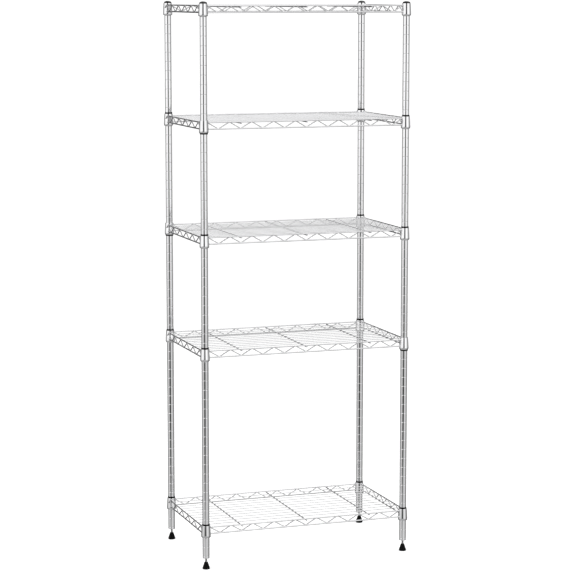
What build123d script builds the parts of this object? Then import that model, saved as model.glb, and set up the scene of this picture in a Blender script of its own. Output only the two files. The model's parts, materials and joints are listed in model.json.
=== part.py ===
"""Free-standing wire shelving rack: five chromed wire shelves on four grooved posts.

Each shelf has four tapered collars that wedge onto split plastic sleeves, and the sleeves
snap into grooves rolled into the posts. Each post is two tubes screwed end to end, with a
domed cap on top and a levelling foot below. Millimetres, +Z up, origin on the floor midway
between the posts, X along the width and Y towards the back.
"""
import os
from math import asin, cos, degrees, radians, sin

from build123d import *

os.makedirs("parts", exist_ok=True)

# Driving dimensions
post_spacing_x = 574.0
post_spacing_y = 334.0
post_radius = 9.5
post_bore_radius = 8.4
post_bottom = 30.0
groove_pitch = 25.4
first_groove = 36.2
shelf_grooves = (3, 22, 34, 46, 58)
split_groove = 29
post_end = 10.4
groove_depth = 0.5
groove_mouth = 2.0
groove_floor = 1.0
press = 0.05
running = 0.08

# Split sleeves, which taper outwards towards the bottom
sleeve_length = 36.0
sleeve_top_radius = 10.3
sleeve_bottom_radius = 11.0
sleeve_bore_radius = post_radius + press
sleeve_rib_depth = 12.4
sleeve_rib_height = 0.3
sleeve_rib_base = 1.5
sleeve_seam_degrees = 3.0
sleeve_slip = 4.5
slipped_sleeves = ((2, "front_right"), (3, "back_left"), (4, "front_left"))

# Shelf collars
collar_height = 33.0
collar_top_radius = 11.7
collar_widest_radius = 13.1
collar_widest_depth = 27.5
collar_lip_radius = 11.95
collar_clearance = 0.12
collar_drop = 4.0
collar_edge = 0.25
collar_roll_ease = 0.15

# Shelf wires
rim_radius = 1.9
web_radius = 1.45
cross_radius = 1.8
surface_radius = 1.2
weld = 0.35
rim_depth = 5.5
truss_height = 17.5
front_rim_offset = 3.0
side_rim_offset = 6.5
front_web_half_pitch = 30.85
front_web_bends = 8
side_web_half_pitch = 29.5
side_web_bends = 5
web_bend_radius = 5.0
surface_pitch = 27.0
surface_count = 11
cross_spacing = 185.0
cross_count = 3
cross_overhang = 3.0
cross_end_chamfer = 0.4
weld_radius = 11.3

# Post joint, threaded at mid height
plug_length = 22.0
joint_thread_radius = 4.0
joint_thread_length = 18.0
thread_lead = 0.8

# Caps
cap_radius = 10.3
cap_dome_height = 4.2
cap_rim_height = 0.8
cap_edge = 0.6
cap_plug_length = 12.0
cap_plug_wall = 1.5

# Levelling feet
insert_length = 18.0
foot_thread_radius = 3.0
foot_stud_top = 46.0
foot_head_radius = 4.2
foot_head_bottom = 5.1
foot_head_height = 4.0
pad_height = 19.5
pad_base_radius = 10.0
pad_rim_height = 3.4
pad_top_radius = 4.5
pad_edge = 1.2

# Heights and places worked out from them
groove_heights = [first_groove + groove_pitch * count for count in range(shelf_grooves[-1] + 1)]
post_top = groove_heights[-1] + post_end
split_height = groove_heights[split_groove]
sleeve_tops = [groove_heights[groove] + sleeve_rib_depth for groove in shelf_grooves]
plug_radius = post_bore_radius + press
half_x = post_spacing_x / 2
half_y = post_spacing_y / 2
corners = {
    "front_left": (-half_x, -half_y),
    "front_right": (half_x, -half_y),
    "back_left": (-half_x, half_y),
    "back_right": (half_x, half_y),
}
front_rim_y = half_y + front_rim_offset
side_rim_x = half_x + side_rim_offset


def radial_plane(x, y, angle=0.0):
    """Upright plane through a post's axis: its first direction is outwards, its second is up."""
    turn = radians(angle)
    return Plane((x, y, 0), x_dir=(cos(turn), sin(turn), 0), z_dir=(sin(turn), -cos(turn), 0))


def upright(x, y):
    """The vertical axis of a post."""
    return Axis((x, y, 0), (0, 0, 1))


def save(part, name):
    """Label one finished sub-part and write it under its node's name."""
    part.label = name
    export_step(part, f"parts/{name}.step")


def post_tube(x, y, bottom, top):
    """One length of post tube with every groove that lies on it, half grooves at a joint."""
    reach = groove_mouth / 2
    heights = [height for height in groove_heights if bottom - reach < height < top + reach]
    with BuildPart() as tube:
        with BuildSketch(radial_plane(x, y)):
            with Locations(((post_bore_radius + post_radius) / 2, (bottom + top) / 2)):
                Rectangle(post_radius - post_bore_radius, top - bottom)
            with Locations(*[(post_radius, height) for height in heights]):
                Polygon(
                    (-groove_depth, -groove_floor / 2),
                    (groove_depth, -groove_mouth),
                    (groove_depth, groove_mouth),
                    (-groove_depth, groove_floor / 2),
                    align=None,
                    mode=Mode.SUBTRACT,
                )
        revolve(axis=upright(x, y))
    return tube.part


def joint_studs():
    """Plugs pressed into the lower tubes, each with a threaded stud standing out of it."""
    with BuildPart() as studs:
        for x, y in corners.values():
            with BuildSketch(Plane((x, y, split_height - plug_length))):
                Circle(plug_radius)
            extrude(amount=plug_length)
            with BuildSketch(Plane((x, y, split_height))):
                Circle(joint_thread_radius)
            extrude(amount=joint_thread_length)
        thread_ends = studs.edges().filter_by(GeomType.CIRCLE).group_by(Axis.Z)[-1]
        chamfer(thread_ends, length=thread_lead)
    return studs.part


def joint_sockets():
    """Plugs pressed into the upper tubes, each with a threaded hole for a joint stud."""
    with BuildPart() as sockets:
        with BuildSketch(Plane.XY.offset(split_height)):
            with Locations(*corners.values()):
                Circle(plug_radius)
                Circle(joint_thread_radius + running, mode=Mode.SUBTRACT)
        extrude(amount=plug_length)
    return sockets.part


def foot_inserts():
    """Threaded plugs pressed into the bottoms of the posts."""
    with BuildPart() as inserts:
        with BuildSketch(Plane.XY.offset(post_bottom)):
            with Locations(*corners.values()):
                Circle(plug_radius)
                Circle(foot_thread_radius + running, mode=Mode.SUBTRACT)
        extrude(amount=insert_length)
    return inserts.part


def post_cap(x, y):
    """Domed cap with a hollow plug that presses into the top of the post."""
    rim_top = post_top + cap_rim_height
    dome_rise = cap_dome_height - cap_rim_height
    dome_radius = (cap_radius ** 2 + dome_rise ** 2) / (2 * dome_rise)
    dome_slope = degrees(asin(cap_radius / dome_radius))
    plug_bottom = post_top - cap_plug_length
    plug_bore = plug_radius - cap_plug_wall
    with BuildPart() as cap:
        with BuildSketch(radial_plane(x, y)) as outline:
            with BuildLine():
                dome = CenterArc((0, post_top + cap_dome_height - dome_radius), dome_radius,
                                 90 - dome_slope, dome_slope)
                Polyline(
                    (cap_radius, rim_top),
                    (cap_radius, post_top),
                    (plug_radius, post_top),
                    (plug_radius, plug_bottom),
                    (plug_bore, plug_bottom),
                    (plug_bore, post_top),
                    (0, post_top),
                    dome @ 1,
                )
            make_face()
            fillet(outline.vertices().sort_by_distance((x + cap_radius, y, rim_top))[0], radius=cap_edge)
        revolve(axis=upright(x, y))
    return cap.part


def foot_pad(x, y):
    """Conical pad with a socket that holds the head of its stud."""
    head_top = foot_head_bottom + foot_head_height
    bore = foot_thread_radius + running
    with BuildPart() as pad:
        with BuildSketch(radial_plane(x, y)) as outline:
            with BuildLine():
                Polyline(
                    (0, 0),
                    (pad_base_radius, 0),
                    (pad_base_radius, pad_rim_height),
                    (pad_top_radius, pad_height),
                    (0, pad_height),
                    close=True,
                )
            make_face()
            fillet(outline.vertices().sort_by(Axis.X)[2:], radius=pad_edge)
            with Locations((0, foot_head_bottom - running)):
                Rectangle(foot_head_radius + running, foot_head_height + 2 * running,
                          align=(Align.MIN, Align.MIN), mode=Mode.SUBTRACT)
            with Locations((0, head_top)):
                Rectangle(bore, pad_height, align=(Align.MIN, Align.MIN), mode=Mode.SUBTRACT)
        revolve(axis=upright(x, y))
    return pad.part


def foot_stud(x, y):
    """Threaded stud: its head turns in the pad and its thread runs in the post's insert."""
    with BuildPart() as stud:
        with BuildSketch(Plane((x, y, foot_head_bottom))):
            Circle(foot_head_radius)
        extrude(amount=foot_head_height)
        with BuildSketch(Plane((x, y, foot_head_bottom + foot_head_height))):
            Circle(foot_thread_radius)
        extrude(amount=foot_stud_top - foot_head_bottom - foot_head_height)
        chamfer(stud.edges().filter_by(GeomType.CIRCLE).sort_by(Axis.Z)[-1], length=thread_lead)
    return stud.part


def sleeve_pairs(shelf, side, top):
    """Both halves of the two split sleeves on one side of a shelf, cut flush where a post ends."""
    half_arc = 180.0 - sleeve_seam_degrees
    with BuildPart() as sleeves:
        for corner in (f"front_{side}", f"back_{side}"):
            x, y = corners[corner]
            slip = sleeve_slip if (shelf, corner) in slipped_sleeves else 0.0
            upper = min(top - slip, post_top)
            lower = top - slip - sleeve_length
            rib = top - sleeve_rib_depth
            for start in (0.0, 180.0):
                with BuildSketch(radial_plane(x, y, start + sleeve_seam_degrees / 2)):
                    with BuildLine():
                        Polyline(
                            (sleeve_bore_radius, upper),
                            (sleeve_bore_radius, rib + sleeve_rib_base / 2),
                            (sleeve_bore_radius - sleeve_rib_height, rib),
                            (sleeve_bore_radius, rib - sleeve_rib_base / 2),
                            (sleeve_bore_radius, lower),
                            (sleeve_bottom_radius, lower),
                            (sleeve_top_radius, upper),
                            close=True,
                        )
                    make_face()
                revolve(axis=upright(x, y), revolution_arc=half_arc)
    return sleeves.part


def collar_bore(depth):
    """Radius of a collar's tapered bore at a depth below its top, clear of the sleeve."""
    taper = (sleeve_bottom_radius - sleeve_top_radius) / sleeve_length
    return sleeve_top_radius + taper * (collar_drop + depth) + collar_clearance


def shelf_collars(top):
    """The four tapered collars of one shelf, rolled in at the bottom edge."""
    lip = top - collar_height
    widest = top - collar_widest_depth
    roll = (collar_widest_radius - collar_roll_ease, (widest + lip) / 2)
    with BuildPart() as collars:
        for x, y in corners.values():
            with BuildSketch(radial_plane(x, y)) as wall:
                with BuildLine():
                    Line((collar_bore(0), top), (collar_top_radius, top))
                    Line((collar_top_radius, top), (collar_widest_radius, widest))
                    ThreePointArc((collar_widest_radius, widest), roll, (collar_lip_radius, lip))
                    Line((collar_lip_radius, lip), (collar_bore(collar_height), lip))
                    Line((collar_bore(collar_height), lip), (collar_bore(0), top))
                make_face()
                fillet(wall.vertices().sort_by(Axis.Z)[-2:], radius=collar_edge)
            revolve(axis=upright(x, y))
    return collars.part


def cut_at_collars(height):
    """Trim wire ends to a cylinder inside the collar walls, so that no bore is blocked."""
    with Locations(*[(x, y, height) for x, y in corners.values()]):
        Cylinder(weld_radius, 2 * collar_height, mode=Mode.SUBTRACT)


def shelf_rims(upper, lower):
    """Top and bottom rim wires of the four trusses, welded into the collars."""
    front_plane = Plane((-half_x, 0, 0), x_dir=(0, 1, 0), z_dir=(1, 0, 0))
    side_plane = Plane((0, -half_y, 0), x_dir=(-1, 0, 0), z_dir=(0, 1, 0))
    with BuildPart() as rims:
        for plane, offset, length in (
            (front_plane, front_rim_y, post_spacing_x),
            (side_plane, side_rim_x, post_spacing_y),
        ):
            with BuildSketch(plane):
                with Locations(*[(side, height) for side in (-offset, offset) for height in (upper, lower)]):
                    Circle(rim_radius)
            extrude(amount=length)
        cut_at_collars((upper + lower) / 2)
    return rims.part


def web_path(half_pitch, bends, end):
    """Zigzag from -end to end about a low bend at mid span, as points along and up the truss."""
    stations = [-end] + [half_pitch * count for count in range(-bends, bends + 1)] + [end]
    return [
        (station, truss_height * (1 - abs(1 - (abs(station) / half_pitch) % 2)))
        for station in stations
    ]


def shelf_webs(lower):
    """Zigzag web wires of the four trusses, inside the front rims and outside the side rims."""
    beside = rim_radius + web_radius - weld
    front_y = front_rim_y - beside
    side_x = side_rim_x + beside
    front_end = front_web_half_pitch * (front_web_bends + 1)
    side_end = half_y - side_rim_offset
    with BuildPart() as webs:
        for side in (-1, 1):
            for plane, half_pitch, bends, end in (
                (Plane((0, side * front_y, lower), x_dir=(1, 0, 0), z_dir=(0, -1, 0)),
                 front_web_half_pitch, front_web_bends, front_end),
                (Plane((side * side_x, 0, lower), x_dir=(0, 1, 0), z_dir=(1, 0, 0)),
                 side_web_half_pitch, side_web_bends, side_end),
            ):
                with BuildLine(plane) as path:
                    FilletPolyline(*web_path(half_pitch, bends, end), radius=web_bend_radius)
                with BuildSketch(Plane(path.line @ 0, z_dir=path.line % 0)):
                    Circle(web_radius)
                sweep(path=path.line)
        cut_at_collars(lower + truss_height / 2)
    return webs.part


def shelf_cross_wires(height):
    """Stout wires from front to back under the rims, their ends standing just proud."""
    half_length = front_rim_y + rim_radius + cross_overhang
    with BuildPart() as wires:
        with BuildSketch(Plane((0, -half_length, height), x_dir=(-1, 0, 0), z_dir=(0, 1, 0))):
            with GridLocations(cross_spacing, 1, cross_count, 1):
                Circle(cross_radius)
        extrude(amount=2 * half_length)
        chamfer(wires.edges().filter_by(GeomType.CIRCLE), length=cross_end_chamfer)
    return wires.part


def shelf_surface_wires(height):
    """Fine wires along the width, laid on the cross wires and butted to the side rims."""
    half_length = side_rim_x - rim_radius + weld
    with BuildPart() as wires:
        with BuildSketch(Plane((-half_length, 0, height), x_dir=(0, 1, 0), z_dir=(1, 0, 0))):
            with GridLocations(surface_pitch, 1, surface_count, 1):
                Circle(surface_radius)
        extrude(amount=2 * half_length)
    return wires.part


for corner, (x, y) in corners.items():
    save(post_tube(x, y, post_bottom, split_height), f"post_lower_{corner}")
    save(post_tube(x, y, split_height, post_top), f"post_upper_{corner}")
    save(post_cap(x, y), f"post_cap_{corner}")
    save(foot_pad(x, y), f"foot_pad_{corner}")
    save(foot_stud(x, y), f"foot_stud_{corner}")

save(joint_studs(), "post_joint_studs")
save(joint_sockets(), "post_joint_sockets")
save(foot_inserts(), "foot_inserts")

for shelf, sleeve_top in enumerate(sleeve_tops, start=1):
    collar_top = sleeve_top - collar_drop
    upper_rim = collar_top - rim_depth
    lower_rim = upper_rim - truss_height
    cross_height = upper_rim - rim_radius - cross_radius + weld
    surface_height = cross_height + cross_radius + surface_radius - weld
    for side in ("left", "right"):
        save(sleeve_pairs(shelf, side, sleeve_top), f"shelf_{shelf}_sleeves_{side}")
    save(shelf_collars(collar_top), f"shelf_{shelf}_collars")
    save(shelf_rims(upper_rim, lower_rim), f"shelf_{shelf}_rims")
    save(shelf_webs(lower_rim), f"shelf_{shelf}_webs")
    save(shelf_cross_wires(cross_height), f"shelf_{shelf}_cross_wires")
    save(shelf_surface_wires(surface_height), f"shelf_{shelf}_surface_wires")
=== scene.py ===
"""Looks of the wire shelving rack: fine chromed wires and posts, black plastic, white studio.

Every visible piece is a finer mesh of the CAD node it stands for, placed from that node's box.
Metres, in the frame of the CAD model: X along the width, Y towards the back, Z up.
"""

import json
from math import ceil, cos, hypot, pi, radians, sin, tan

import bpy
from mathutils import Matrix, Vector

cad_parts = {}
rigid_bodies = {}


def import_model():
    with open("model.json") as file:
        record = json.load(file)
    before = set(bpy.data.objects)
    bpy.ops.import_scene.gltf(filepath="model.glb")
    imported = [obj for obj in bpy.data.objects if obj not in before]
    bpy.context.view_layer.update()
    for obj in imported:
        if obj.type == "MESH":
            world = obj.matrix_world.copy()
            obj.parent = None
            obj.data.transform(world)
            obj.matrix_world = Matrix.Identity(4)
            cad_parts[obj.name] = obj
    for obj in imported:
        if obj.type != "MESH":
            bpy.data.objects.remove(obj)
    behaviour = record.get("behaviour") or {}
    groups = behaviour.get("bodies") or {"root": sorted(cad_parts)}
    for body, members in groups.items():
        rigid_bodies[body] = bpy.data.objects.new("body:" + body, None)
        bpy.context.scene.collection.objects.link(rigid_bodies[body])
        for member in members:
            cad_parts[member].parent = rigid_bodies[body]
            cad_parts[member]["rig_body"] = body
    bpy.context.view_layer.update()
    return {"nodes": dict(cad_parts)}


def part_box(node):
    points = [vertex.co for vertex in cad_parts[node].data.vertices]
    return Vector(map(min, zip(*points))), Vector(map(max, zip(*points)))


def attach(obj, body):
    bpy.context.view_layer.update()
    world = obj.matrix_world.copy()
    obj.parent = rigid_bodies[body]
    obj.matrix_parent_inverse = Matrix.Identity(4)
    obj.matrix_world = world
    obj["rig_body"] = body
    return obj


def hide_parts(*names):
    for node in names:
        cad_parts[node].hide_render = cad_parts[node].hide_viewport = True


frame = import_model()

CORNERS = ("front_left", "front_right", "back_left", "back_right")
SHELVES = range(1, 6)

# Facets round a turned piece, a thread, a wire and a weld
ROUND = 40
THREAD_ROUND = 24
WIRE_ROUND = 14
WEB_ROUND = 12
SURFACE_ROUND = 10
WELD_ROUND = 8

# Posts. A ring of points at SUPPORT beside each bend keeps the shading of the long faces even
GROOVE_PITCH = 0.0254
GROOVE_DEPTH = 0.0004
GROOVE_HALF_WIDTH = 0.0010
GROOVE_STEPS = 4
SUPPORT = 0.00015
TUBE_WALL = 0.0011
EDGE = 0.0004
END_MARGIN = 1e-5

# Caps
CAP_RIM = 0.0008
CAP_EASE = 0.0003
CAP_ROOF = 0.001
CAP_SEAT = 0.0002
CAP_PLUG_WALL = 0.0015
CAP_STEPS = 10
CAP_STEP_POWER = 1.5

# Levelling feet
PAD_TOP = 0.0045
PAD_RIM = 0.0034
PAD_EASE = 0.0012
PAD_WELL = 0.004
STUD_BORE = 0.00308
HEAD_HEIGHT = 0.004
HEAD_EASE = 0.0004
TIP_EASE = 0.0006
THREAD_PITCH = 0.001
THREAD_OUTER = 0.003
THREAD_ROOT = 0.00245
THREAD_CORE = 0.0005
THREAD_START = 0.0045
THREAD_END = 0.0012
SHANK_COVER = 0.0001

# Sleeves and collars
SLEEVE_GAP = 0.00005
SLEEVE_EASE = 0.0003
SLEEVE_BORE_EASE = 0.0002
SLEEVE_FOOT_EASE = 0.0004
SEAM_HALF_ANGLE = radians(1.5)
COLLAR_TOP_RADIUS = 0.0117
COLLAR_LIP_RADIUS = 0.01195
COLLAR_BORE_TOP = 0.0105
COLLAR_BORE_LOW = 0.01114
COLLAR_WIDEST_DEPTH = 0.0275
COLLAR_ROLL_STEPS = 8
COLLAR_EASE = 0.0003
COLLAR_LIP_EASE = 0.0002
COLLAR_TOP_EASE = 0.0001

# Wires, by radius
RIM = 0.0019
WEB = 0.00145
CROSS = 0.0018
SURFACE = 0.0012
WEB_BEND = 0.005
FRONT_WEB_HALF_PITCH = 0.03085
FRONT_WEB_RUNS = 9
SIDE_WEB_HALF_PITCH = 0.0295
SURFACE_COUNT = 11

# Where wires end inside a collar's wall, from the post's axis
RIM_REACH = 0.0113
WEB_REACH = 0.0112

# Welds: how far crossing wires sink into each other, and the lengths, radii and places of nuggets
WELD = 0.00035
NUGGET = 0.0013
TRUSS_NUGGET_LENGTH = 0.0030
FRONT_RIM_NUGGET = 0.0016
FRONT_RIM_NUGGET_IN = 0.0008
FRONT_RIM_NUGGET_OUT = 0.0004
SIDE_RIM_NUGGET = 0.0018
SIDE_RIM_NUGGET_IN = 0.0006
WEB_NUGGET_LIFT = 0.0008
CROSS_NUGGET_LENGTH = 0.0026
SPOT_LENGTH = 0.0017
SPOT = 0.0009
END_SPOT_LENGTH = 0.0018
END_SPOT = 0.0011
END_SPOT_SHARE = 0.9985


# Mesh building

def mesh_piece(name, vertices, faces, material, crease=35.0):
    """A smooth-shaded object from vertices and faces, sharp where faces meet at over crease degrees."""
    mesh = bpy.data.meshes.new(name)
    mesh.from_pydata([tuple(vertex) for vertex in vertices], [], faces)
    mesh.validate()
    mesh.polygons.foreach_set("use_smooth", [True] * len(mesh.polygons))
    mesh.set_sharp_from_angle(angle=radians(crease))
    mesh.materials.append(material)
    piece = bpy.data.objects.new(name, mesh)
    bpy.context.scene.collection.objects.link(piece)
    return piece


class Build:
    """Vertices and faces gathered from several solids into one mesh."""

    def __init__(self):
        self.vertices = []
        self.faces = []

    def grid(self, rows, closed_rows=False, closed_columns=True):
        """Join rows of points, each a ring, into a skin of quads; a row of one point closes a pole."""
        start = []
        for row in rows:
            start.append(len(self.vertices))
            self.vertices.extend(row)
        pairs = list(zip(range(len(rows)), range(1, len(rows))))
        if closed_rows:
            pairs.append((len(rows) - 1, 0))
        for low, high in pairs:
            self.bridge(rows[low], start[low], rows[high], start[high], closed_columns)

    def bridge(self, row_a, a, row_b, b, closed):
        """Faces between two rings, either of which may be a single point."""
        count = max(len(row_a), len(row_b))
        for step in range(count if closed else count - 1):
            after = (step + 1) % count
            if len(row_a) == 1:
                self.faces.append((a, b + after, b + step))
            elif len(row_b) == 1:
                self.faces.append((a + step, a + after, b))
            else:
                self.faces.append((a + step, a + after, b + after, b + step))

    def lathe(self, centre, profile, closed=False, segments=ROUND):
        """Turn a profile of (radius, height) about the vertical through centre."""
        rows = []
        for radius, height in profile:
            if radius == 0:
                rows.append([Vector((centre[0], centre[1], height))])
                continue
            rows.append([
                Vector((centre[0] + radius * cos(2 * pi * step / segments),
                        centre[1] + radius * sin(2 * pi * step / segments), height))
                for step in range(segments)
            ])
        self.grid(rows, closed_rows=closed)

    def arc_lathe(self, centre, profile, start, end, segments):
        """Turn a closed profile through part of a circle, with flat faces at both ends."""
        rows = []
        for step in range(segments + 1):
            angle = start + (end - start) * step / segments
            rows.append([
                Vector((centre[0] + radius * cos(angle), centre[1] + radius * sin(angle), height))
                for radius, height in profile
            ])
        first = len(self.vertices)
        self.grid(rows)
        size = len(profile)
        last = first + size * segments
        self.faces.append(tuple(range(first, first + size)))
        self.faces.append(tuple(reversed(range(last, last + size))))

    def wire(self, path, radius, segments=WIRE_ROUND, end_round=0.3):
        """Round wire along a path of points, its ends eased by a share of the radius."""
        ease = radius * end_round
        points = [Vector(point) for point in path]
        into = (points[1] - points[0]).normalized()
        out = (points[-1] - points[-2]).normalized()
        stations = [(points[0], into, radius - ease), (points[0] + into * ease, into, radius),
                    (points[0] + into * 2 * ease, into, radius)]
        for before, here, after in zip(points, points[1:], points[2:]):
            ahead = ((here - before).normalized() + (after - here).normalized()).normalized()
            stations.append((here, ahead, radius))
        stations += [(points[-1] - out * 2 * ease, out, radius), (points[-1] - out * ease, out, radius),
                     (points[-1], out, radius - ease)]
        side = into.orthogonal().normalized()
        rows = [[points[0]]]
        for place, ahead, size in stations:
            side = (side - ahead * side.dot(ahead)).normalized()
            other = ahead.cross(side)
            rows.append([
                place + (side * cos(2 * pi * step / segments)
                         + other * sin(2 * pi * step / segments)) * size
                for step in range(segments)
            ])
        rows.append([points[-1]])
        self.grid(rows)

    def nugget(self, centre, along, length, radius):
        """Small smooth weld nugget, stretched along a direction."""
        ahead = Vector(along).normalized()
        side = ahead.orthogonal().normalized()
        other = ahead.cross(side)
        rows = [[Vector(centre) - ahead * length]]
        for ring in (0.25, 0.5, 0.75):
            reach = -length * cos(pi * ring)
            size = radius * sin(pi * ring)
            rows.append([
                Vector(centre) + ahead * reach
                + (side * cos(2 * pi * step / WELD_ROUND)
                   + other * sin(2 * pi * step / WELD_ROUND)) * size
                for step in range(WELD_ROUND)
            ])
        rows.append([Vector(centre) + ahead * length])
        self.grid(rows)

    def piece(self, name, material, crease=35.0):
        """The gathered mesh as one object."""
        return mesh_piece(name, self.vertices, self.faces, material, crease)


def rounded_path(points, radius, steps=5):
    """A polyline with each inner corner turned into an arc of that radius."""
    points = [Vector(point) for point in points]
    path = [points[0]]
    for before, corner, after in zip(points, points[1:], points[2:]):
        back = (before - corner).normalized()
        ahead = (after - corner).normalized()
        half = back.angle(ahead) / 2
        reach = radius / tan(half)
        centre = corner + (back + ahead).normalized() * (radius / sin(half))
        start = corner + back * reach - centre
        end = corner + ahead * reach - centre
        sweep = start.angle(end)
        for step in range(steps + 1):
            share = step / steps
            mixed = start * (sin((1 - share) * sweep) / sin(sweep))
            mixed += end * (sin(share * sweep) / sin(sweep))
            path.append(centre + mixed)
    path.append(points[-1])
    return path


# Materials

def node_material(name):
    """A new node material, its node tree, shader and object coordinates."""
    material = bpy.data.materials.new(name)
    material.use_nodes = True
    tree = material.node_tree
    shader = tree.nodes["Principled BSDF"]
    coordinates = tree.nodes.new("ShaderNodeTexCoord").outputs["Object"]
    return material, tree, shader, coordinates


def noise(tree, coordinates, scale, stretch=(1, 1, 1), detail=3.0):
    """Noise over object coordinates, stretched along the axes."""
    mapping = tree.nodes.new("ShaderNodeMapping")
    mapping.inputs["Scale"].default_value = stretch
    texture = tree.nodes.new("ShaderNodeTexNoise")
    texture.inputs["Scale"].default_value = scale
    texture.inputs["Detail"].default_value = detail
    tree.links.new(coordinates, mapping.inputs["Vector"])
    tree.links.new(mapping.outputs["Vector"], texture.inputs["Vector"])
    return texture.outputs["Fac"]


def ramp(tree, factor, low, high, start=0.3, end=0.7):
    """Colour between low and high as factor goes from start to end."""
    node = tree.nodes.new("ShaderNodeValToRGB")
    node.color_ramp.elements[0].position = start
    node.color_ramp.elements[0].color = (*low, 1)
    node.color_ramp.elements[1].position = end
    node.color_ramp.elements[1].color = (*high, 1)
    tree.links.new(factor, node.inputs["Fac"])
    return node.outputs["Color"]


def spread(tree, factor, low, high):
    """Number from low to high as factor goes from 0.3 to 0.7."""
    node = tree.nodes.new("ShaderNodeMapRange")
    node.inputs["From Min"].default_value = 0.3
    node.inputs["From Max"].default_value = 0.7
    node.inputs["To Min"].default_value = low
    node.inputs["To Max"].default_value = high
    tree.links.new(factor, node.inputs["Value"])
    return node.outputs["Result"]


def bump(tree, shader, height, strength, distance):
    """Fine relief on the shader's normal."""
    node = tree.nodes.new("ShaderNodeBump")
    node.inputs["Strength"].default_value = strength
    node.inputs["Distance"].default_value = distance
    tree.links.new(height, node.inputs["Height"])
    tree.links.new(node.outputs["Normal"], shader.inputs["Normal"])


def chrome(name, tone, smooth, rough):
    """Bright chrome plate, with a faint haze of slightly duller plate and a fine drawn grain."""
    material, tree, shader, coordinates = node_material(name)
    shader.inputs["Metallic"].default_value = 1.0
    haze = noise(tree, coordinates, scale=9.0, detail=4.0)
    dulled = tuple(channel * 0.93 for channel in tone)
    tree.links.new(ramp(tree, haze, dulled, tone), shader.inputs["Base Color"])
    grain = noise(tree, coordinates, scale=260.0, stretch=(1, 1, 0.12), detail=2.0)
    tree.links.new(spread(tree, grain, smooth, rough), shader.inputs["Roughness"])
    bump(tree, shader, grain, strength=0.05, distance=0.0002)
    return material


def zinc(name):
    """Zinc-plated steel: duller, with small crystalline patches."""
    material, tree, shader, coordinates = node_material(name)
    shader.inputs["Metallic"].default_value = 1.0
    patches = noise(tree, coordinates, scale=420.0, detail=5.0)
    tones = ramp(tree, patches, low=(0.42, 0.42, 0.43), high=(0.62, 0.62, 0.61))
    tree.links.new(tones, shader.inputs["Base Color"])
    tree.links.new(spread(tree, patches, low=0.25, high=0.42), shader.inputs["Roughness"])
    bump(tree, shader, patches, strength=0.1, distance=0.0002)
    return material


def plastic(name, tone, smooth, rough, relief, gloss):
    """Black moulded plastic with a fine texture and slightly lighter patches."""
    material, tree, shader, coordinates = node_material(name)
    shader.inputs["Specular IOR Level"].default_value = gloss
    dust = noise(tree, coordinates, scale=60.0, detail=6.0)
    dusty = tuple(channel * 1.6 for channel in tone)
    tree.links.new(ramp(tree, dust, tone, dusty), shader.inputs["Base Color"])
    texture = noise(tree, coordinates, scale=1400.0, detail=2.0)
    tree.links.new(spread(tree, texture, smooth, rough), shader.inputs["Roughness"])
    bump(tree, shader, texture, strength=relief, distance=0.0001)
    return material


POST_CHROME = chrome("post_chrome", (0.90, 0.90, 0.91), smooth=0.02, rough=0.05)
COLLAR_CHROME = chrome("collar_chrome", (0.92, 0.92, 0.93), smooth=0.03, rough=0.07)
TRUSS_CHROME = chrome("truss_chrome", (0.82, 0.82, 0.83), smooth=0.06, rough=0.13)
WIRE_CHROME = chrome("wire_chrome", (0.90, 0.90, 0.91), smooth=0.07, rough=0.15)
ZINC = zinc("zinc_plate")
SLEEVE_BLACK = plastic("sleeve_black", (0.0025, 0.0025, 0.0026), smooth=0.38, rough=0.52, relief=0.15,
                       gloss=0.015)
CAP_BLACK = plastic("cap_black", (0.003, 0.003, 0.0032), smooth=0.08, rough=0.16, relief=0.03,
                    gloss=0.80)
FOOT_BLACK = plastic("foot_black", (0.0028, 0.0028, 0.0029), smooth=0.30, rough=0.44, relief=0.15,
                     gloss=0.05)


# Pieces

def stands_for(piece, node):
    """The piece hides its CAD node and rides on that node's body."""
    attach(piece, frame["nodes"][node]["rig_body"])
    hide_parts(node)
    return piece


def centre_of(node):
    """Middle of a node's box."""
    low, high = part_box(node)
    return (low + high) / 2


posts = {corner: centre_of(f"post_lower_{corner}") for corner in CORNERS}
half_x = posts["front_right"].x
half_y = posts["back_right"].y
post_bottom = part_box("post_lower_front_left")[0].z
post_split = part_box("post_upper_front_left")[0].z
post_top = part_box("post_upper_front_left")[1].z
post_radius = (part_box("post_lower_front_left")[1].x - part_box("post_lower_front_left")[0].x) / 2
groove_count = ceil((post_top - post_bottom) / GROOVE_PITCH)
groove_heights = [post_split + GROOVE_PITCH * step for step in range(-groove_count, groove_count)]


def groove_profile(height, low, high):
    """Outline of one rolled groove, kept between low and high."""
    outline = [(post_radius, height - GROOVE_HALF_WIDTH - SUPPORT)]
    for step in range(-GROOVE_STEPS, GROOVE_STEPS + 1):
        depth = GROOVE_DEPTH * (0.5 + 0.5 * cos(pi * step / GROOVE_STEPS))
        outline.append((post_radius - depth, height + GROOVE_HALF_WIDTH * step / GROOVE_STEPS))
    outline.append((post_radius, height + GROOVE_HALF_WIDTH + SUPPORT))
    return [point for point in outline if low <= point[1] <= high]


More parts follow.
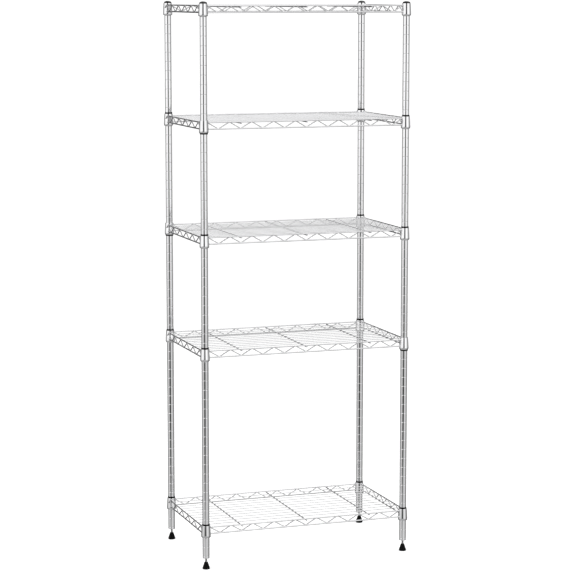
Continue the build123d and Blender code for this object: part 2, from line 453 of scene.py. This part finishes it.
def post_tube(corner, part, low, high):
    """A length of grooved tube with its wall and bore, eased at its free end and split in a groove."""
    bore = post_radius - TUBE_WALL
    if part == "upper":
        outer = [(post_radius - GROOVE_DEPTH, low)]
    else:
        outer = [(post_radius - EDGE, low), (post_radius - 0.3 * EDGE, low + 0.3 * EDGE),
                 (post_radius, low + EDGE), (post_radius, low + EDGE + SUPPORT)]
    for height in groove_heights:
        if low < height + GROOVE_HALF_WIDTH and height - GROOVE_HALF_WIDTH < high:
            outer += groove_profile(height, low + END_MARGIN, high - END_MARGIN)
    if part == "upper":
        outer += [(post_radius, high - EDGE - SUPPORT), (post_radius, high - EDGE),
                  (post_radius - EDGE, high)]
    else:
        outer += [(post_radius - GROOVE_DEPTH, high)]
    build = Build()
    build.lathe(posts[corner], [(bore, low), *outer, (bore, high)], closed=True)
    piece = build.piece(f"tube_{part}_{corner}", POST_CHROME, crease=60)
    stands_for(piece, f"post_{part}_{corner}")


def post_cap(corner):
    """Glossy domed cap with an eased rim, and its plug."""
    node = f"post_cap_{corner}"
    low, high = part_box(node)
    radius = (high.x - low.x) / 2
    rise = high.z - post_top - CAP_RIM
    sphere = (radius ** 2 + rise ** 2) / (2 * rise)
    plug = post_radius - TUBE_WALL
    hollow = plug - CAP_PLUG_WALL
    roof = post_top - CAP_ROOF
    profile = [(0, roof), (hollow, roof), (hollow, low.z), (plug, low.z), (plug, post_top - CAP_SEAT),
               (radius - CAP_EASE, post_top), (radius, post_top + CAP_EASE)]
    for step in range(1, CAP_STEPS):
        across = radius * (1 - (step / CAP_STEPS) ** CAP_STEP_POWER)
        profile.append((across, high.z - sphere + (sphere ** 2 - across ** 2) ** 0.5))
    profile.append((0, high.z))
    build = Build()
    build.lathe(posts[corner], profile)
    stands_for(build.piece(f"dome_{corner}", CAP_BLACK, crease=50), node)


def foot_pad(corner):
    """Conical pad with a rounded rim, a flat sole and a well for the stud."""
    node = f"foot_pad_{corner}"
    low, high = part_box(node)
    base = (high.x - low.x) / 2
    outline = rounded_path([(0, low.z, 0), (base, low.z, 0), (base, low.z + PAD_RIM, 0),
                            (PAD_TOP, high.z, 0), (STUD_BORE, high.z, 0)], PAD_EASE)
    profile = [(point.x, point.y) for point in outline]
    profile += [(STUD_BORE, high.z - PAD_WELL), (0, high.z - PAD_WELL)]
    build = Build()
    build.lathe(posts[corner], profile)
    stands_for(build.piece(f"pad_{corner}", FOOT_BLACK, crease=50), node)


def foot_stud(corner):
    """Levelling stud with a helical thread standing out of the pad."""
    node = f"foot_stud_{corner}"
    low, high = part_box(node)
    centre = posts[corner]
    build = Build()
    start = low.z + THREAD_START
    turns = int((high.z - THREAD_END - start) / THREAD_PITCH)
    turn_end = THREAD_PITCH * 0.98
    section = ((THREAD_CORE, 0), (THREAD_ROOT, 0), (THREAD_OUTER, THREAD_PITCH * 0.5),
               (THREAD_ROOT, turn_end), (THREAD_CORE, turn_end))
    rows = []
    for step in range(turns * THREAD_ROUND + 1):
        angle = 2 * pi * step / THREAD_ROUND
        height = start + THREAD_PITCH * step / THREAD_ROUND
        out = Vector((cos(angle), sin(angle), 0))
        base = Vector((centre.x, centre.y, height))
        rows.append([base + out * radius + Vector((0, 0, lift)) for radius, lift in section])
    build.grid(rows)
    size = len(section)
    last = size * (len(rows) - 1)
    build.faces.append(tuple(range(size)))
    build.faces.append(tuple(reversed(range(last, last + size))))
    shank = THREAD_ROOT + SHANK_COVER
    head = (high.x - low.x) / 2
    head_top = low.z + HEAD_HEIGHT
    build.lathe(centre, [(0, low.z), (head - HEAD_EASE, low.z), (head, low.z + HEAD_EASE),
                         (head, head_top - HEAD_EASE), (head - HEAD_EASE, head_top), (shank, head_top),
                         (shank, high.z - TIP_EASE), (shank - TIP_EASE, high.z), (0, high.z)],
                segments=THREAD_ROUND)
    stands_for(build.piece(f"thread_{corner}", ZINC, crease=30), node)


def sleeves(shelf, side):
    """Both halves of two split sleeves, with eased edges and a seam between the halves."""
    node = f"shelf_{shelf}_sleeves_{side}"
    vertices = frame["nodes"][node].data.vertices
    build = Build()
    for corner in (f"front_{side}", f"back_{side}"):
        centre = posts[corner]
        near = [vertex.co for vertex in vertices if abs(vertex.co.y - centre.y) < 2 * post_radius]
        upper = max(point.z for point in near)
        lower = min(point.z for point in near)
        outer_top = max(hypot(p.x - centre.x, p.y - centre.y) for p in near if p.z > upper - END_MARGIN)
        outer_bottom = max(hypot(p.x - centre.x, p.y - centre.y) for p in near)
        bore = post_radius + SLEEVE_GAP
        profile = [(bore, upper - SLEEVE_EASE), (bore + SLEEVE_BORE_EASE, upper),
                   (outer_top - SLEEVE_EASE, upper), (outer_top, upper - SLEEVE_EASE),
                   (outer_bottom, lower + SLEEVE_FOOT_EASE), (outer_bottom - SLEEVE_FOOT_EASE, lower),
                   (bore + SLEEVE_BORE_EASE, lower), (bore, lower + SLEEVE_EASE)]
        for start in (0, pi):
            build.arc_lathe(centre, profile, start + SEAM_HALF_ANGLE, start + pi - SEAM_HALF_ANGLE,
                            segments=ROUND // 2)
    stands_for(build.piece(f"halves_{shelf}_{side}", SLEEVE_BLACK, crease=40), node)


def collar_profile(low, high, widest):
    """Closed outline of a tapered collar, rolled in at the bottom, from its bore's foot outwards."""
    roll_start = high - COLLAR_WIDEST_DEPTH
    roll_height = roll_start - low - COLLAR_LIP_EASE
    roll_out = widest - COLLAR_LIP_RADIUS
    outline = [(COLLAR_BORE_LOW, low + COLLAR_EASE), (COLLAR_BORE_LOW + COLLAR_LIP_EASE, low),
               (COLLAR_LIP_RADIUS - COLLAR_EASE, low)]
    for step in range(COLLAR_ROLL_STEPS + 1):
        angle = pi / 2 * step / COLLAR_ROLL_STEPS
        outline.append((COLLAR_LIP_RADIUS + roll_out * sin(angle),
                        roll_start - roll_height * cos(angle)))
    slope = (widest - COLLAR_TOP_RADIUS) / COLLAR_WIDEST_DEPTH
    for above in (COLLAR_EASE, COLLAR_WIDEST_DEPTH - 3 * COLLAR_EASE,
                  COLLAR_WIDEST_DEPTH - 2 * COLLAR_EASE):
        outline.append((widest - slope * above, roll_start + above))
    outline += [(COLLAR_TOP_RADIUS - COLLAR_TOP_EASE, high - COLLAR_TOP_EASE),
                (COLLAR_TOP_RADIUS - 4 * COLLAR_TOP_EASE, high), (COLLAR_BORE_TOP + COLLAR_EASE, high),
                (COLLAR_BORE_TOP, high - COLLAR_EASE)]
    return outline


def collars(shelf):
    """Four tapered collars, one round each post."""
    node = f"shelf_{shelf}_collars"
    low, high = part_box(node)
    widest = high.x - half_x
    build = Build()
    for corner in CORNERS:
        build.lathe(posts[corner], collar_profile(low.z, high.z, widest), closed=True)
    stands_for(build.piece(f"cones_{shelf}", COLLAR_CHROME, crease=50), node)


def rim_places(shelf):
    """Front rim distance from the middle, side rim distance, and the two rim heights."""
    low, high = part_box(f"shelf_{shelf}_rims")
    return high.y - RIM, high.x - RIM, high.z - RIM, low.z + RIM


def collar_gap(offset, reach):
    """How far along from a post's axis a wire ends that passes it at offset, at that reach from it."""
    return (reach ** 2 - offset ** 2) ** 0.5


def rims(shelf):
    """Eight rim wires, two to a side, each welded into a collar's wall at both ends."""
    node = f"shelf_{shelf}_rims"
    front_y, side_x, upper, lower = rim_places(shelf)
    along_x = half_x - collar_gap(front_y - half_y, RIM_REACH)
    along_y = half_y - collar_gap(side_x - half_x, RIM_REACH)
    build = Build()
    for height in (upper, lower):
        for side in (-1, 1):
            build.wire([(-along_x, side * front_y, height), (along_x, side * front_y, height)], RIM)
            build.wire([(side * side_x, -along_y, height), (side * side_x, along_y, height)], RIM)
            for end in (-1, 1):
                front_spot = (end * (along_x - FRONT_RIM_NUGGET_IN),
                              side * (front_y + FRONT_RIM_NUGGET_OUT), height)
                side_spot = (side * side_x, end * (along_y - SIDE_RIM_NUGGET_IN), height)
                build.nugget(front_spot, (0, 0, 1), TRUSS_NUGGET_LENGTH, FRONT_RIM_NUGGET)
                build.nugget(side_spot, (0, 0, 1), TRUSS_NUGGET_LENGTH, SIDE_RIM_NUGGET)
    stands_for(build.piece(f"rim_wires_{shelf}", TRUSS_CHROME, crease=60), node)


def web_points(half_pitch, end, height):
    """Zigzag stations and heights from -end to end, a triangle wave low at mid span.

    The last bend is at least a tenth of a half pitch short of the end.
    """
    bends = int(end / half_pitch - 0.1)
    stations = [-end] + [half_pitch * count for count in range(-bends, bends + 1)] + [end]
    return [(at, height * (1 - abs(1 - (abs(at) / half_pitch) % 2))) for at in stations]


def webs(shelf):
    """Four zigzag web wires with a weld nugget at each bend."""
    node = f"shelf_{shelf}_webs"
    front_y, side_x, upper, lower = rim_places(shelf)
    beside = RIM + WEB - WELD
    web_y = front_y - beside
    web_x = side_x + beside
    front_points = web_points(FRONT_WEB_HALF_PITCH, FRONT_WEB_HALF_PITCH * FRONT_WEB_RUNS, upper - lower)
    limit = half_x - collar_gap(web_y - half_y, WEB_REACH)
    slope = (upper - lower) / FRONT_WEB_HALF_PITCH
    over = front_points[-1][0] - limit
    front_points[-1] = (limit, front_points[-1][1] - slope * over)
    front_points[0] = (-limit, front_points[0][1] - slope * over)
    side_points = web_points(SIDE_WEB_HALF_PITCH, half_y - (side_x - half_x), upper - lower)
    build = Build()
    for side in (-1, 1):
        for points, place in (
            (front_points, lambda at, rise: (at, side * web_y, lower + rise)),
            (side_points, lambda at, rise: (side * web_x, at, lower + rise)),
        ):
            path = rounded_path([place(*point) for point in points], WEB_BEND)
            build.wire(path, WEB, segments=WEB_ROUND)
            direction = Vector(place(1, 0)) - Vector(place(0, 0))
            inwards = Vector((0, side, 0)) if points is front_points else Vector((-side, 0, 0))
            for at, rise in points[1:-1]:
                lift = WEB_NUGGET_LIFT if rise < WEB else -WEB_NUGGET_LIFT
                spot = Vector(place(at, rise + lift)) + inwards * (WEB - WELD / 2)
                build.nugget(spot, direction, TRUSS_NUGGET_LENGTH, NUGGET)
    stands_for(build.piece(f"web_wires_{shelf}", TRUSS_CHROME, crease=60), node)


def cross_wires(shelf):
    """Stout front-to-back wires under the rims, welded to them."""
    node = f"shelf_{shelf}_cross_wires"
    low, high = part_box(node)
    front_y = rim_places(shelf)[0]
    height = (low.z + high.z) / 2
    build = Build()
    for at in (low.x + CROSS, 0.0, high.x - CROSS):
        build.wire([(at, low.y, height), (at, high.y, height)], CROSS, end_round=0.5)
        for side in (-1, 1):
            spot = (at, side * front_y, height + CROSS - WELD / 2)
            build.nugget(spot, (1, 0, 0), CROSS_NUGGET_LENGTH, NUGGET)
    stands_for(build.piece(f"cross_{shelf}", WIRE_CHROME, crease=60), node)


def surface_wires(shelf):
    """Fine wires along the width, spot welded to the cross wires and at their ends."""
    node = f"shelf_{shelf}_surface_wires"
    low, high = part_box(node)
    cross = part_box(f"shelf_{shelf}_cross_wires")
    height = (low.z + high.z) / 2
    build = Build()
    for step in range(SURFACE_COUNT):
        at = low.y + SURFACE + (high.y - low.y - 2 * SURFACE) * step / (SURFACE_COUNT - 1)
        build.wire([(low.x, at, height), (high.x, at, height)], SURFACE, segments=SURFACE_ROUND)
        for spot in (cross[0].x + CROSS, 0.0, cross[1].x - CROSS):
            build.nugget((spot, at, height - SURFACE + WELD / 2), (0, 1, 0), SPOT_LENGTH, SPOT)
        for end in (low.x, high.x):
            build.nugget((end * END_SPOT_SHARE, at, height), (0, 1, 0), END_SPOT_LENGTH, END_SPOT)
    stands_for(build.piece(f"surface_{shelf}", WIRE_CHROME, crease=60), node)


def inner_finish():
    """The hidden plugs and inserts keep their CAD shape and take a zinc finish."""
    for node in ("post_joint_studs", "post_joint_sockets", "foot_inserts"):
        frame["nodes"][node].data.materials.clear()
        frame["nodes"][node].data.materials.append(ZINC)


for corner in CORNERS:
    post_tube(corner, "lower", post_bottom, post_split)
    post_tube(corner, "upper", post_split, post_top)
    post_cap(corner)
    foot_pad(corner)
    foot_stud(corner)
for shelf in SHELVES:
    for side in ("left", "right"):
        sleeves(shelf, side)
    collars(shelf)
    rims(shelf)
    webs(shelf)
    cross_wires(shelf)
    surface_wires(shelf)
inner_finish()


# Studio

def floor():
    """A wide pale floor, just below the feet, which the chrome doesn't reflect."""
    material, _, shader, _ = node_material("floor_white")
    shader.inputs["Base Color"].default_value = (0.93, 0.93, 0.93, 1)
    shader.inputs["Roughness"].default_value = 0.6
    shader.inputs["Specular IOR Level"].default_value = 0.0
    shader.inputs["Emission Color"].default_value = (1, 1, 1, 1)
    shader.inputs["Emission Strength"].default_value = 0.35
    half = 30
    corners = [(-half, -half, 0), (half, -half, 0), (half, half, 0), (-half, half, 0)]
    mesh = bpy.data.meshes.new("floor")
    mesh.from_pydata(corners, [], [(0, 1, 2, 3)])
    mesh.materials.append(material)
    ground = bpy.data.objects.new("floor", mesh)
    bpy.context.scene.collection.objects.link(ground)
    ground.location.z = -0.0002
    ground.visible_glossy = False


def area_light(name, centre, facing, size, power):
    """A soft rectangular light, which the chrome doesn't reflect."""
    light = bpy.data.lights.new(name, "AREA")
    light.shape = "RECTANGLE"
    light.size, light.size_y = size
    light.energy = power
    lamp = bpy.data.objects.new(name, light)
    bpy.context.scene.collection.objects.link(lamp)
    lamp.location = centre
    lamp.rotation_euler = (Vector(facing) - Vector(centre)).to_track_quat("-Z", "Y").to_euler()
    lamp.visible_glossy = False


def studio_ramp(tree, value, stops):
    """Grey level along a value from 0 to 1, from a few (place, level) stops."""
    node = tree.nodes.new("ShaderNodeValToRGB")
    elements = node.color_ramp.elements
    while len(elements) < len(stops):
        elements.new(0.5)
    for element, (place, level) in zip(elements, stops):
        element.position = place
        element.color = (level, level, level, 1)
    tree.links.new(value, node.inputs["Fac"])
    return node.outputs["Color"]


def calculate(tree, operation, first, second=None):
    """A maths node on one or two sockets or numbers."""
    node = tree.nodes.new("ShaderNodeMath")
    node.operation = operation
    for socket, value in zip(node.inputs, (first, second)):
        if isinstance(value, bpy.types.NodeSocket):
            tree.links.new(value, socket)
        elif value is not None:
            socket.default_value = value
    return node.outputs["Value"]


def by_compass(tree, around, stops):
    """Grey level by compass direction, from stops in degrees."""
    return studio_ramp(tree, around, [((place + 180) / 360, level) for place, level in stops])


def by_height(tree, height, stops):
    """Grey level by height above level, from stops in sines of that angle."""
    return studio_ramp(tree, height, [(0.5 + place / 2, level) for place, level in stops])


def surroundings():
    """White backdrop, and for everything else a soft studio: light by direction round the rack."""
    world = bpy.data.worlds.new("studio")
    bpy.context.scene.world = world
    world.use_nodes = True
    tree = world.node_tree
    background = tree.nodes["Background"]
    direction = tree.nodes.new("ShaderNodeSeparateXYZ")
    tree.links.new(tree.nodes.new("ShaderNodeTexCoord").outputs["Generated"], direction.inputs["Vector"])
    east, north, rise = (direction.outputs[axis] for axis in "XYZ")
    turn = calculate(tree, "ARCTAN2", east, calculate(tree, "MULTIPLY", north, -1.0))
    around = calculate(tree, "ADD", calculate(tree, "DIVIDE", turn, 2 * pi), 0.5)
    # Compass of the studio in degrees: 0 is straight in front of the rack, positive to its right
    compass = ((-180, 0.08), (-157, 0.08), (-145, 0.40), (-125, 0.50), (-105, 1.00), (-80, 1.15),
               (-50, 1.05), (-36, 1.00), (0, 1.05), (15, 1.20), (35, 1.05), (51, 0.85), (64, 0.70),
               (75, 0.25), (92, 0.22), (107, 0.60), (126, 0.55), (145, 0.80), (160, 1.00), (168, 0.60),
               (175, 0.08), (180, 0.08))
    sides = by_compass(tree, around, compass)
    height = calculate(tree, "ADD", calculate(tree, "MULTIPLY", rise, 0.5), 0.5)
    # Sine of the height above level: dim floor, a grey band low down, walls, overhead light
    bands = ((-1.0, 0.38), (-0.36, 0.38), (-0.26, 0.64), (-0.18, 0.64), (-0.12, 0.84), (-0.07, 1.0),
             (0.20, 1.0), (0.45, 1.2))
    levels = by_height(tree, height, bands)
    # A black flag low down on the front left darkens the lower posts
    flag_sides = ((-74, 0.0), (-60, 1.0), (-22, 1.0), (-8, 0.0))
    flag_bands = ((-0.27, 0.0), (-0.25, 0.5), (-0.22, 1.0), (-0.19, 1.0), (-0.16, 0.7), (-0.11, 0.3),
                  (-0.06, 0.0))
    flag_strength = 0.72
    flag = calculate(tree, "MULTIPLY", by_compass(tree, around, flag_sides),
                     by_height(tree, height, flag_bands))
    unflagged = calculate(tree, "SUBTRACT", 1.0, calculate(tree, "MULTIPLY", flag, flag_strength))
    # An upright gap in the light, which ends just above the floor
    gap_sides = ((-39, 0.0), (-35, 1.0), (-8, 1.0), (-4, 0.0))
    gap_bands = ((-0.255, 0.0), (-0.235, 0.4), (-0.20, 1.0))
    gap_strength = 0.95
    gap = calculate(tree, "MULTIPLY", by_compass(tree, around, gap_sides),
                    by_height(tree, height, gap_bands))
    unbroken = calculate(tree, "SUBTRACT", 1.0, calculate(tree, "MULTIPLY", gap, gap_strength))
    walls = calculate(tree, "MULTIPLY", calculate(tree, "MULTIPLY", sides, levels), unflagged)
    studio_light = calculate(tree, "MULTIPLY", walls, unbroken)
    paths = tree.nodes.new("ShaderNodeLightPath")
    # The backdrop is a little over white, as the floor is, so that it renders as pure white
    over_white = 1.12
    backdrop = calculate(tree, "MULTIPLY", paths.outputs["Is Camera Ray"], over_white)
    tree.links.new(calculate(tree, "MAXIMUM", backdrop, studio_light), background.inputs["Color"])
    background.inputs["Strength"].default_value = 1.0


def studio():
    """Surroundings, a pale floor and two soft lights."""
    surroundings()
    floor()
    middle = (0, 0, 0.8)
    size = (1.6, 2.4)
    area_light("key_left", (-2.6, -1.6, 2.4), middle, size, power=40)
    area_light("fill_right", (2.8, -1.2, 2.0), middle, size, power=28)


def camera():
    """Camera to the front left at the height of the top shelf, turned to the rack and tilted down."""
    data = bpy.data.cameras.new("camera")
    view = bpy.data.objects.new("camera", data)
    bpy.context.scene.collection.objects.link(view)
    frame_pixels = 575
    focal_pixels = 2097.8
    shift_pixels = -8.0
    turn = radians(19.291)
    tilt = radians(7.795)
    data.sensor_width = 36.0
    data.lens = focal_pixels / frame_pixels * data.sensor_width
    data.shift_y = shift_pixels / frame_pixels
    view.location = (-1.9042, -5.4539, 1.5470)
    view.rotation_euler = (pi / 2 - tilt, 0, -turn)
    data.clip_end = 100
    bpy.context.scene.camera = view


studio()
camera()
bpy.context.scene.view_settings.view_transform = "Standard"
